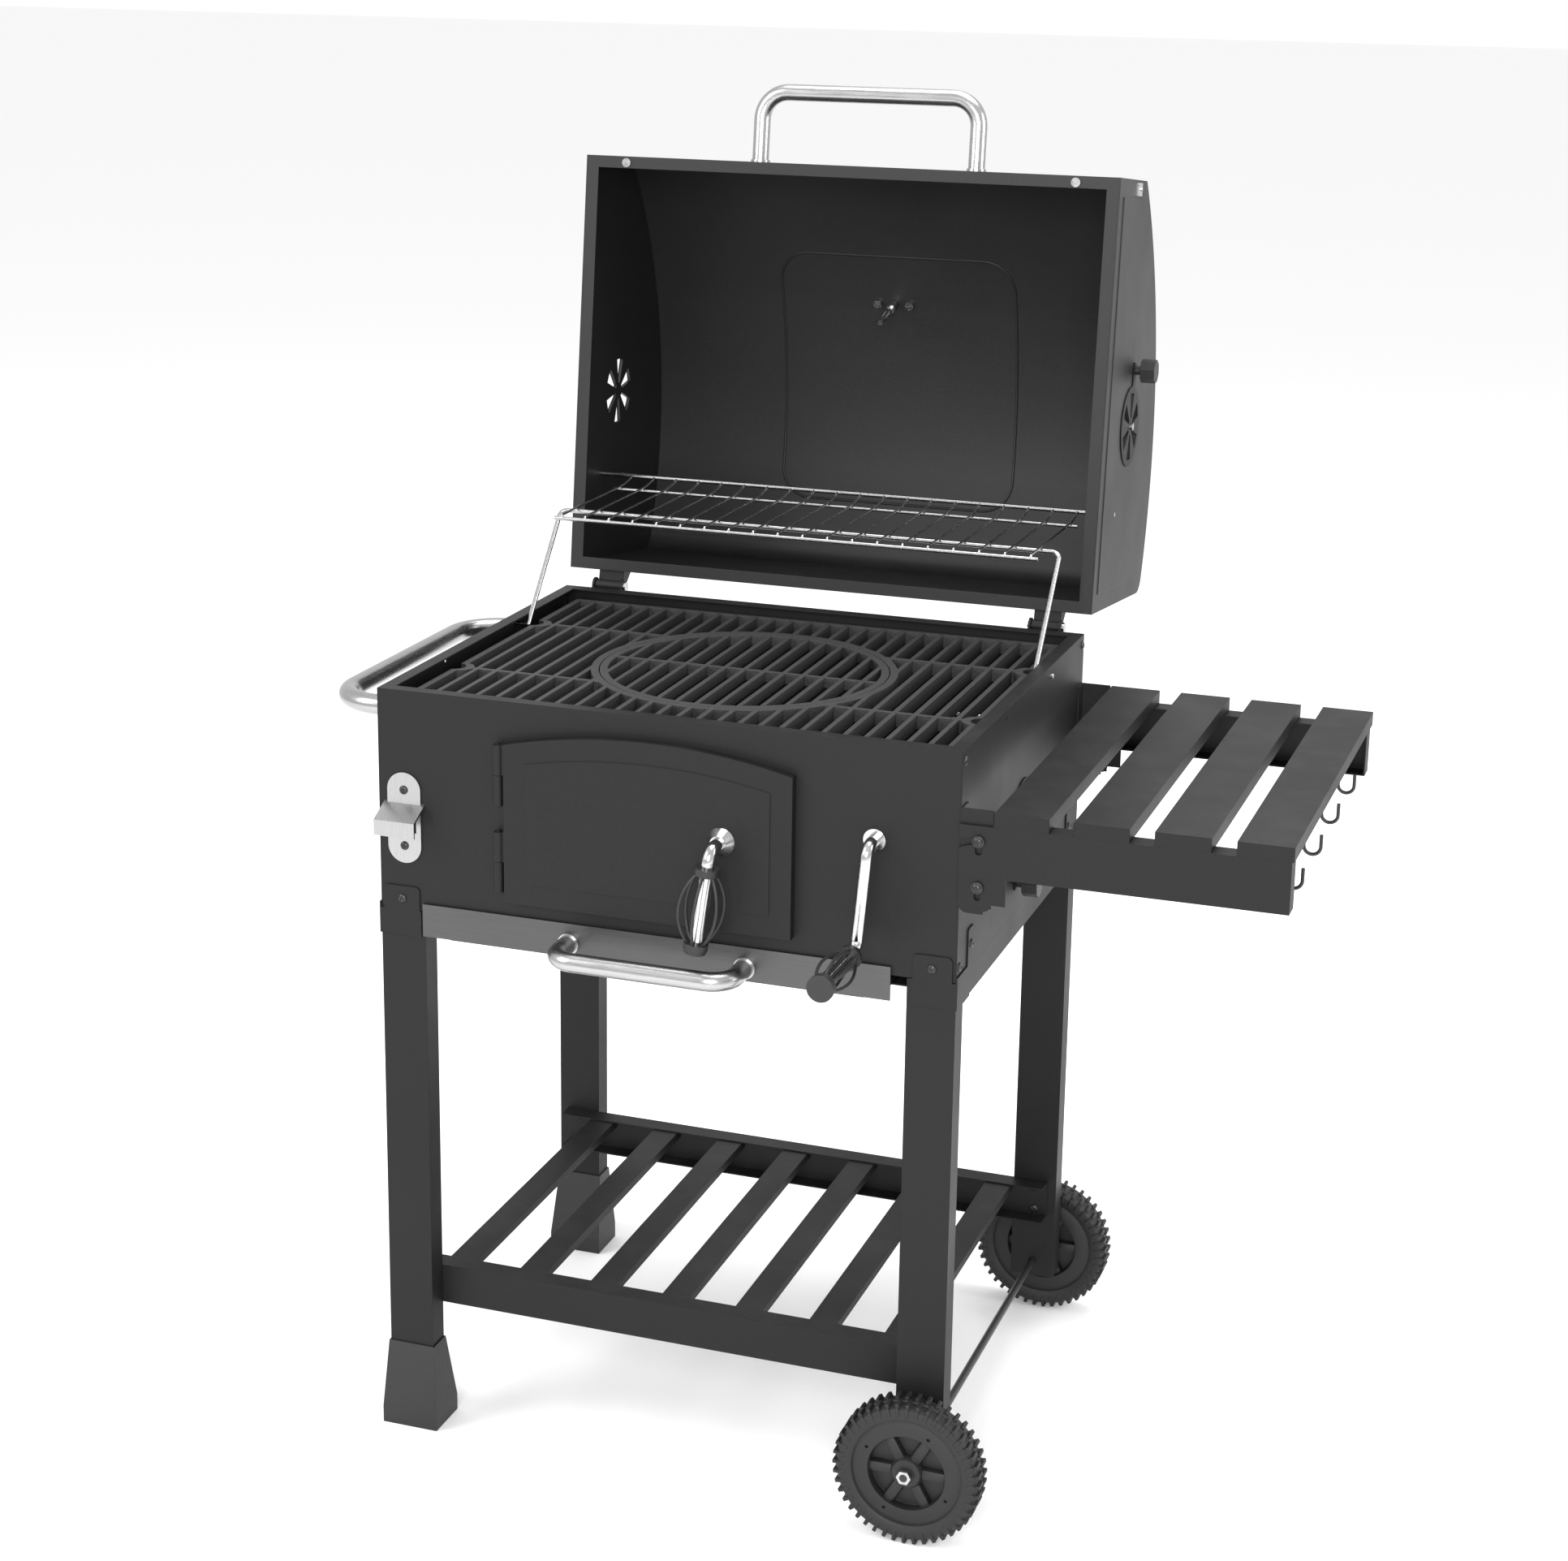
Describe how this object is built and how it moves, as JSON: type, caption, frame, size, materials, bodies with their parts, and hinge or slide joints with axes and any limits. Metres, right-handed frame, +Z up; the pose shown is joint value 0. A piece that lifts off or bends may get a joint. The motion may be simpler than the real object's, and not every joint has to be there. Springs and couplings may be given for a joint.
{
  "type": "charcoal grill trolley",
  "caption": "Black sheet-steel charcoal grill trolley with an open barrel lid, folding side shelf, ash drawer, fire door, crank-lifted coal tray, warming rack and two wheels.",
  "frame": {"origin": "on the ground under the middle of the whole trolley", "axes": "+X to the right of the trolley seen from its front, +Y to the back, +Z up"},
  "size_m": [1.0082, 0.9144, 1.356],
  "materials": {
    "fine_black_paint": "matt, finely textured powder coat",
    "black_zinc": "black plated screws",
    "black_plastic": "matt moulded plastic",
    "bright_plated_steel": "bright plated wire and fittings",
    "brushed_stainless": "brushed stainless tube and strip",
    "rough_cast_iron": "rough matt enamelled cast iron",
    "dial_white": "printed dial face"
  },
  "bodies": {
    "cart": {"firebox_front": "fine_black_paint", "firebox_back": "fine_black_paint", "firebox_left": "fine_black_paint", "firebox_right": "fine_black_paint", "black_screws": "black_zinc", "leg_front_left": "fine_black_paint", "leg_back_left": "fine_black_paint", "leg_front_right": "fine_black_paint", "leg_back_right": "fine_black_paint", "leg_brackets": "fine_black_paint", "foot_front_left": "black_plastic", "foot_back_left": "black_plastic", "rail_front": "fine_black_paint", "rail_back": "fine_black_paint", "bottom_slat_set": "fine_black_paint", "side_skirts": "fine_black_paint", "axle": "fine_black_paint", "bright_hardware": "bright_plated_steel", "side_handle": "brushed_stainless", "bottle_opener": "brushed_stainless", "side_bracket_front": "fine_black_paint", "side_bracket_back": "fine_black_paint", "side_bracket_screws": "black_zinc", "inner_brackets": "fine_black_paint", "lid_hinge_brackets": "fine_black_paint", "lid_hinge_pins": "bright_plated_steel", "door_hinge_fixed": "fine_black_paint"},
    "lid": {"lid_shell": "fine_black_paint", "lid_cap_left": "fine_black_paint", "lid_cap_right": "fine_black_paint", "lid_handle": "brushed_stainless", "lid_fasteners": "bright_plated_steel", "lid_hinge_leaves": "fine_black_paint", "thermometer_case": "bright_plated_steel", "thermometer_dial": "dial_white"},
    "damper_left": {"lid_damper_left": "fine_black_paint", "lid_damper_knob_left": "black_plastic"},
    "damper_right": {"lid_damper_right": "fine_black_paint", "lid_damper_knob_right": "black_plastic"},
    "damper_box": {"box_damper": "fine_black_paint", "box_damper_knob": "black_plastic"},
    "rack": {"warming_rack": "bright_plated_steel"},
    "rack_swing_legs": {"rack_legs": "bright_plated_steel"},
    "door": {"door_panel": "fine_black_paint", "door_hinge_moving": "fine_black_paint"},
    "door_handle": {"door_handle_rod": "bright_plated_steel", "door_handle_cage": "black_plastic"},
    "crank": {"crank_rod": "bright_plated_steel", "crank_cage": "black_plastic"},
    "tray": {"coal_tray": "fine_black_paint"},
    "ash_drawer": {"ash_pan": "fine_black_paint", "ash_strip": "brushed_stainless", "ash_handle": "brushed_stainless"},
    "grate": {"cooking_grate": "rough_cast_iron"},
    "insert": {"grate_insert": "rough_cast_iron"},
    "side_shelf": {"side_rails": "fine_black_paint", "side_slat_set": "fine_black_paint", "side_hooks": "fine_black_paint"},
    "front_wheel": {"wheel_front": "black_plastic"},
    "back_wheel": {"wheel_back": "black_plastic"}
  },
  "joints": [
    {"name": "lid_hinge", "type": "hinge", "parent": "cart", "child": "lid", "pos_m": [-0.10762, 0.16857, 0.8005], "axis": [1, 0, 0], "range_deg": [0, 96.5]},
    {"name": "rack_turn", "type": "hinge", "parent": "lid", "child": "rack", "pos_m": [-0.10762, 0.26057, 0.9095], "axis": [1, 0, 0], "range_deg": [-96.5, 0]},
    {"name": "rack_leg_turn", "type": "hinge", "parent": "cart", "child": "rack_swing_legs", "pos_m": [-0.10762, 0.00682, 0.79], "axis": [1, 0, 0], "range_deg": [0, 96.5]},
    {"name": "damper_left_turn", "type": "hinge", "parent": "lid", "child": "damper_left", "pos_m": [-0.41163, 0.31427, 0.99803], "axis": [1, 0, 0], "range_deg": [0, 30]},
    {"name": "damper_right_turn", "type": "hinge", "parent": "lid", "child": "damper_right", "pos_m": [0.19637, 0.31427, 0.99803], "axis": [1, 0, 0], "range_deg": [0, 30]},
    {"name": "damper_box_turn", "type": "hinge", "parent": "cart", "child": "damper_box", "pos_m": [0.19268, -0.09218, 0.664], "axis": [1, 0, 0], "range_deg": [0, 30]},
    {"name": "door_hinge", "type": "hinge", "parent": "cart", "child": "door", "pos_m": [-0.27463, -0.33118, 0.597], "axis": [0, 0, -1], "range_deg": [0, 110]},
    {"name": "door_handle_turn", "type": "hinge", "parent": "door", "child": "door_handle", "pos_m": [-0.04063, -0.32418, 0.688], "axis": [0, 1, 0], "range_deg": [0, 90]},
    {"name": "crank_turn", "type": "hinge", "parent": "cart", "child": "crank", "pos_m": [0.10938, -0.08518, 0.705], "axis": [0, 1, 0], "range_deg": [-35, 35]},
    {"name": "tray_lift", "type": "slide", "parent": "cart", "child": "tray", "axis": [0, 0, 1], "range_m": [-0.0355, 0.0355]},
    {"name": "ash_slide", "type": "slide", "parent": "cart", "child": "ash_drawer", "axis": [0, -1, 0], "range_m": [0, 0.3]},
    {"name": "grate_lift", "type": "slide", "parent": "cart", "child": "grate", "axis": [0, 0, 1], "range_m": [0, 0.04]},
    {"name": "insert_lift", "type": "slide", "parent": "grate", "child": "insert", "axis": [0, 0, 1], "range_m": [0, 0.02]},
    {"name": "side_shelf_fold", "type": "hinge", "parent": "cart", "child": "side_shelf", "pos_m": [0.21038, -0.08518, 0.671], "axis": [0, 1, 0], "range_deg": [0, 90]},
    {"name": "front_wheel_spin", "type": "hinge", "parent": "cart", "child": "front_wheel", "pos_m": [0.16812, -0.34418, 0.075], "axis": [0, 1, 0], "continuous": true},
    {"name": "back_wheel_spin", "type": "hinge", "parent": "cart", "child": "back_wheel", "pos_m": [0.16812, 0.17382, 0.075], "axis": [0, 1, 0], "continuous": true}
  ],
  "couplings": [
    {"joint": "rack_turn", "follows": "lid_hinge", "ratio": -1},
    {"joint": "rack_leg_turn", "follows": "lid_hinge", "ratio": 1},
    {"joint": "tray_lift", "follows": "crank_turn", "m_per_rad": 0.058}
  ]
}
